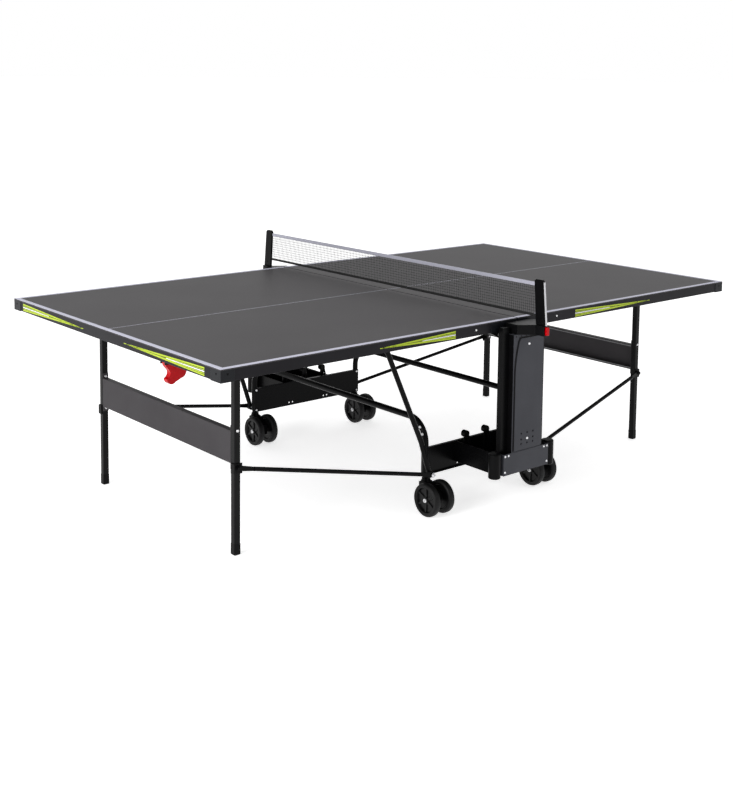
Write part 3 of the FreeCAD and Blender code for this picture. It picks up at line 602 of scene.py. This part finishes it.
# --- Hinge blocks, shoes and pins -------------------------------------------------------------
# Under the net end of each half, deep moulded blocks carry the pin that turns and slides with
# the guide shoes in the column rails. The shoes are black nylon, and the pins plated steel.
nylon = coated("black_nylon", (0.012, 0.012, 0.013), (0.018, 0.018, 0.019), 0.5, 1500, 0.00004)
for side in ("left", "right"):
    hinge = joined_copy("hinge_blocks_" + side)
    soften(hinge, 0.0014)
    hinge_piece = make_piece(hinge, "hinge_mouldings_" + side, moulded_black)
    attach(hinge_piece, "half_" + side)
    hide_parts("hinge_blocks_" + side)
    for node, finish in (("guide_shoes_", nylon), ("hinge_pins_", zinc)):
        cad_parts[node + side].data.materials.clear()
        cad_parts[node + side].data.materials.append(finish)

# --- Struts and rods --------------------------------------------------------------------------
# On the left half bent 20 mm tubes run from the base bolts to the slotted rails. On both halves
# thin 16 mm rods with pressed flat ends tie the legs to the same bolts. All are coated black.
for side in ("left", "right"):
    for node, name, body in (("struts_", "strut_tubes_", "strut_pair_"),
                             ("leg_rods_", "tie_rods_", "rod_pair_")):
        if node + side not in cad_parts:
            continue
        tubes = joined_copy(node + side)
        tube_piece = make_piece(tubes, name + side, black_coat)
        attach(tube_piece, body + side)
        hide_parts(node + side)

# --- Legs, feet and leg panels ----------------------------------------------------------------
# Square 25 mm tubes with moulded feet, joined by a deep folded panel whose end flanges are bolted
# through the legs. The panel is coated anthracite, and a plastic clamp beside each foot of the
# panel takes the rod.
leg_coat = coated("leg_powder_coat", (0.0022, 0.0022, 0.0024), (0.0040, 0.0040, 0.0044),
                  0.24, 900, 0.00003, specular=0.09)
panel_coat = coated("panel_powder_coat", (0.034, 0.031, 0.034), (0.042, 0.039, 0.042),
                    0.45, 1100, 0.00004, specular=0.08)
# A pale coat for painted highlights on the leg panels.
painted_highlight_coat = coated("panel_painted_highlight", (0.14, 0.14, 0.145), (0.20, 0.20, 0.205),
                   0.4, 1100, 0.00004, specular=0.3)
for side in ("left", "right"):
    legs = bmesh.new()
    for low, high in solids("legs_" + side):
        verts = block(legs, low, high)
        upright = [e for e in legs.edges
                   if e.verts[0] in verts and abs(e.verts[0].co.z - e.verts[1].co.z) > 0.1]
        bmesh.ops.bevel(legs, geom=upright, offset=0.003, offset_type="OFFSET", affect="EDGES", segments=3,
                        profile=0.5, material=-1)
    leg_piece = make_piece(legs, "leg_tubes_" + side, leg_coat)
    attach(leg_piece, "leg_set_" + side)
    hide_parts("legs_" + side)

    feet = bmesh.new()
    for low, high in solids("leg_feet_" + side):
        middle = (low + high) / 2
        verts = block(feet, low, high)
        bmesh.ops.scale(feet, vec=(0.92, 0.92, 1), space=Matrix.Translation((-middle.x, -middle.y, 0)),
                        verts=verts)
    soften(feet, 0.003, segments=3)
    foot_piece = make_piece(feet, "foot_caps_" + side, moulded_black)
    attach(foot_piece, "leg_set_" + side)
    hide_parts("leg_feet_" + side)

    for node, name, width, finish, slot in (
            ("leg_panel_", "leg_panel_sheet_", 0.0006, panel_coat, "anthracite_steel"),
            ("leg_clamps_", "leg_clamp_blocks_", 0.0012, moulded_black, "black_plastic")):
        panel = joined_copy(node + side)
        soften(panel, width)
        panel_piece = make_piece(panel, name + side, finish)
        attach(panel_piece, "leg_set_" + side)
        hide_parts(node + side)

    # Two pale strips on each panel's inner face, near its top and bottom, are painted highlights where the
    # lamps catch the panel's folded lips.
    panel_low, panel_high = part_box("leg_panel_" + side)
    highlight_x = panel_high.x - 0.0025 if side == "left" else panel_low.x + 0.0005
    panel_highlights = bmesh.new()
    for highlight_z in (panel_low.z + 0.0245, panel_high.z - 0.0295):
        block(panel_highlights, (highlight_x, panel_low.y + 0.002, highlight_z),
              (highlight_x + 0.002, panel_high.y - 0.002, highlight_z + 0.005))
    soften(panel_highlights, 0.0006)
    highlight_piece = make_piece(panel_highlights, "leg_panel_beads_" + side, painted_highlight_coat)
    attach(highlight_piece, "leg_set_" + side)

    leg_bolts = bmesh.new()
    for low, high in solids("legs_" + side):
        out = math.copysign(1, low.y)
        outer_y = high.y if out > 0 else low.y
        inner_y = (low.y if out > 0 else high.y) - out * 0.002
        x = (low.x + high.x) / 2
        for z in (panel_high.z - 0.013, panel_low.z + 0.013):
            screw_head(leg_bolts, (x, inner_y, z), (0, -out, 0), 0.0055, 0.004)
        screw_head(leg_bolts, (x, outer_y, panel_high.z - 0.017), (0, out, 0), 0.0055, 0.003)
    leg_bolt_piece = make_piece(leg_bolts, "leg_bolt_heads_" + side, zinc)
    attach(leg_bolt_piece, "leg_set_" + side)

# --- Release levers ---------------------------------------------------------------------------
# A hooked lever hangs behind each end rim and frees the fold lock when it is pulled. It is
# moulded in glossy red plastic with generous round edges, and turns on a plated pin.
glossy_red = coated("glossy_red_plastic", (0.36, 0.001, 0.003), (0.44, 0.002, 0.005), 0.22, 600, 0.00002,
                    specular=0.08)
glossy_red.node_tree.nodes["Principled BSDF"].inputs["Coat Weight"].default_value = 0.05
for side in ("left", "right"):
    lever = joined_copy("release_lever_" + side)
    soften(lever, 0.007, segments=5)
    lever_piece = make_piece(lever, "red_lever_" + side, glossy_red)
    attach(lever_piece, "lever_" + side)
    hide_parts("release_lever_" + side)

# --- Net posts, brackets and buttons ----------------------------------------------------------
# A moulded bracket on each column holds a thin tapered post, with a round knob on top. A pale strip along the
# post's outer edge is a painted highlight, the glint of the lamps on that glossy edge. The red button under
# the post frees the net tension.
post_highlight_paint = coated("painted_highlight_on_post_edge", (0.50, 0.50, 0.52), (0.58, 0.58, 0.60), 0.35, 900, 0.00003)
for node, name in (("net_brackets", "net_bracket_blocks"), ("net_posts", "net_post_fins")):
    holder = joined_copy(node)
    soften(holder, 0.0016, segments=3)
    holder_piece = make_piece(holder, name, moulded_black)
    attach(holder_piece, "base")
    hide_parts(node)

# A pale strip along each post's outer edge: a painted highlight.
edge_highlights = bmesh.new()
knobs = bmesh.new()
for low, high in solids("net_posts"):
    out = math.copysign(1, low.y)
    outer_y = high.y if out > 0 else low.y
    foot = Vector((0, outer_y, low.z + 0.001))
    tip = Vector((0, outer_y - out * 0.015, high.z - 0.009))
    verts = block(edge_highlights, (low.x + 0.001, -0.0012, 0), (high.x - 0.001, 0.0012, 1))
    for v in verts:
        v.co = Vector((v.co.x, 0, 0)) + foot.lerp(tip, v.co.z) + Vector((0, v.co.y, 0))
    screw_head(knobs, (high.x - 0.0005, outer_y - out * 0.024, low.z + 0.020), (1, 0, 0), 0.005, 0.0014)
    screw_head(knobs, (low.x + 0.0005, outer_y - out * 0.024, low.z + 0.020), (-1, 0, 0), 0.005, 0.0014)
edge_highlight_piece = make_piece(edge_highlights, "post_edge_painted_highlights", post_highlight_paint)
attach(edge_highlight_piece, "base")
knob_piece = make_piece(knobs, "post_side_screws", moulded_black)
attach(knob_piece, "base")

for place in ("near", "far"):
    press = joined_copy("net_button_" + place)
    soften(press, 0.002, segments=3)
    press_piece = make_piece(press, "red_button_" + place, glossy_red)
    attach(press_piece, "button_" + place)
    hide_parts("net_button_" + place)

# --- Net, tape and hem ------------------------------------------------------------------------
# A knotted polyester net, 1.716 m long, is stretched between the posts. A woven pale tape is
# sewn over its top cord, and a black hem along its foot.
PITCH = 0.0105
THREAD = 0.0007
TOP_NARROWER = 0.010
thread_cord = coated("net_thread", (0.008, 0.008, 0.009), (0.016, 0.016, 0.018),
                     0.7, 1800, 0.0001, specular=0.15)
low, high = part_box("net")
middle_x = (low.x + high.x) / 2
columns = round((high.y - low.y) / PITCH)
rows = round((high.z - low.z) / PITCH)


def crossing(column, row):
    """Where a cord across the net meets a cord up it; the net narrows a little to its top."""
    height = row / rows
    half_width = high.y - TOP_NARROWER * height
    return Vector((middle_x, half_width * (2 * column / columns - 1), low.z + (high.z - low.z) * height))


net = bmesh.new()
for column in range(columns + 1):
    round_bar(net, crossing(column, 0), crossing(column, rows), THREAD, segments=5)
for row in range(rows + 1):
    round_bar(net, crossing(0, row), crossing(columns, row), THREAD, segments=5)
for column in range(1, columns):
    for row in range(1, rows):
        bmesh.ops.create_icosphere(net, subdivisions=1, radius=THREAD * 1.6,
                                   matrix=Matrix.Translation(crossing(column, row)))
net_piece = make_piece(net, "net_threads", thread_cord)
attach(net_piece, "base")
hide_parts("net")
net_middle_z = (low.z + high.z) / 2


def woven(name, dark, light, sheen):
    """Plain woven tape: two sets of threads that cross, in tone and relief."""
    material = bpy.data.materials.new(name)
    material.use_nodes = True
    place = add_node(material, "TexCoord").outputs["Object"]
    warp = add_node(material, "TexWave", {"Vector": place, "Scale": 180.0}, bands_direction="Y")
    weft = add_node(material, "TexWave", {"Vector": place, "Scale": 180.0}, bands_direction="Z")
    cross = add_node(material, "Math", {0: warp.outputs["Fac"], 1: weft.outputs["Fac"]}, operation="MULTIPLY")
    tone = add_node(material, "ValToRGB", {"Fac": cross.outputs[0]})
    tone.color_ramp.elements[0].color = (*dark, 1)
    tone.color_ramp.elements[1].color = (*light, 1)
    bump = add_node(material, "Bump", {"Height": cross.outputs[0], "Strength": 0.5, "Distance": 0.0003})
    feed(material, base_color=tone.outputs["Color"], normal=bump.outputs["Normal"])
    material.node_tree.nodes["Principled BSDF"].inputs["Roughness"].default_value = 0.8
    material.node_tree.nodes["Principled BSDF"].inputs["Sheen Weight"].default_value = sheen
    return material


for low, high in solids("net_tapes"):
    top_band = low.z > net_middle_z
    band = bmesh.new()
    block(band, low, high)
    soften(band, 0.0014, segments=3)
    if top_band:
        finish = woven("pale_tape", (0.32, 0.32, 0.38), (0.50, 0.50, 0.58), 0.3)
    else:
        finish = woven("black_hem", (0.0015, 0.0015, 0.0015), (0.0040, 0.0040, 0.0040), 0.0)
    band_piece = make_piece(band, "net_top_tape" if top_band else "net_foot_hem", finish)
    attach(band_piece, "base")
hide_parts("net_tapes")

# --- Floor, light and camera ------------------------------------------------------------------
# A plain pale studio floor under even white light, with one broad soft lamp on each side.
floor_mesh = bmesh.new()
bmesh.ops.create_grid(floor_mesh, x_segments=1, y_segments=1, size=140)
bmesh.ops.translate(floor_mesh, vec=(0, 0, -0.0005), verts=floor_mesh.verts)
floor_paint = coated("pale_floor", (0.90, 0.90, 0.90), (0.92, 0.92, 0.92), 0.8, 60, 0.0001,
                     specular=0.1, drift=0.5)
floor_shader = floor_paint.node_tree.nodes["Principled BSDF"]
floor_shader.inputs["Emission Color"].default_value = (1, 1, 1, 1)
floor_shader.inputs["Emission Strength"].default_value = 0.66
floor = make_piece(floor_mesh, "floor", floor_paint)

scene = bpy.context.scene
scene.view_settings.view_transform = "Standard"
world = bpy.data.worlds.new("studio")
world.use_nodes = True
background = world.node_tree.nodes["Background"]
background.inputs["Color"].default_value = (1, 1, 1, 1)
sky_place = add_node(world, "TexCoord").outputs["Generated"]
toward_back = add_node(world, "VectorMath", {0: sky_place, 1: (0.62, 0.78, 0.0)},
                       operation="DOT_PRODUCT")
sky_level = add_node(world, "MapRange", {"Value": toward_back.outputs["Value"], "From Min": -0.1,
                                         "From Max": 0.5, "To Min": 0.38, "To Max": 1.0})
world.node_tree.links.new(sky_level.outputs["Result"], background.inputs["Strength"])
scene.world = world
for name, spot, size, power in (("left_lamp", (-5.5, -1.0, 2.6), 2.5, 210),
                                ("right_lamp", (2.5, -5.5, 3.8), 2.0, 50)):
    lamp = bpy.data.lights.new(name, "AREA")
    lamp.energy = power
    lamp.size = size
    lamp_object = bpy.data.objects.new(name, lamp)
    lamp_object.location = spot
    to_table = Vector((0, 0, 0.6)) - Vector(spot)
    lamp_object.rotation_euler = to_table.to_track_quat("-Z", "Y").to_euler()
    scene.collection.objects.link(lamp_object)

camera_data = bpy.data.cameras.new("camera")
camera_data.lens = 55.8
camera_data.shift_x = 0.0065
camera_data.shift_y = -0.2531
camera_data.clip_end = 500
camera = bpy.data.objects.new("camera", camera_data)
camera.location = (-3.50776, -3.99255, 1.71775)
tilt = Euler((math.radians(90 - 6.0), 0, math.radians(-40.02))).to_matrix()
camera.rotation_euler = (tilt @ Matrix.Rotation(math.radians(0.61), 3, "Z")).to_euler()
scene.collection.objects.link(camera)
scene.camera = camera
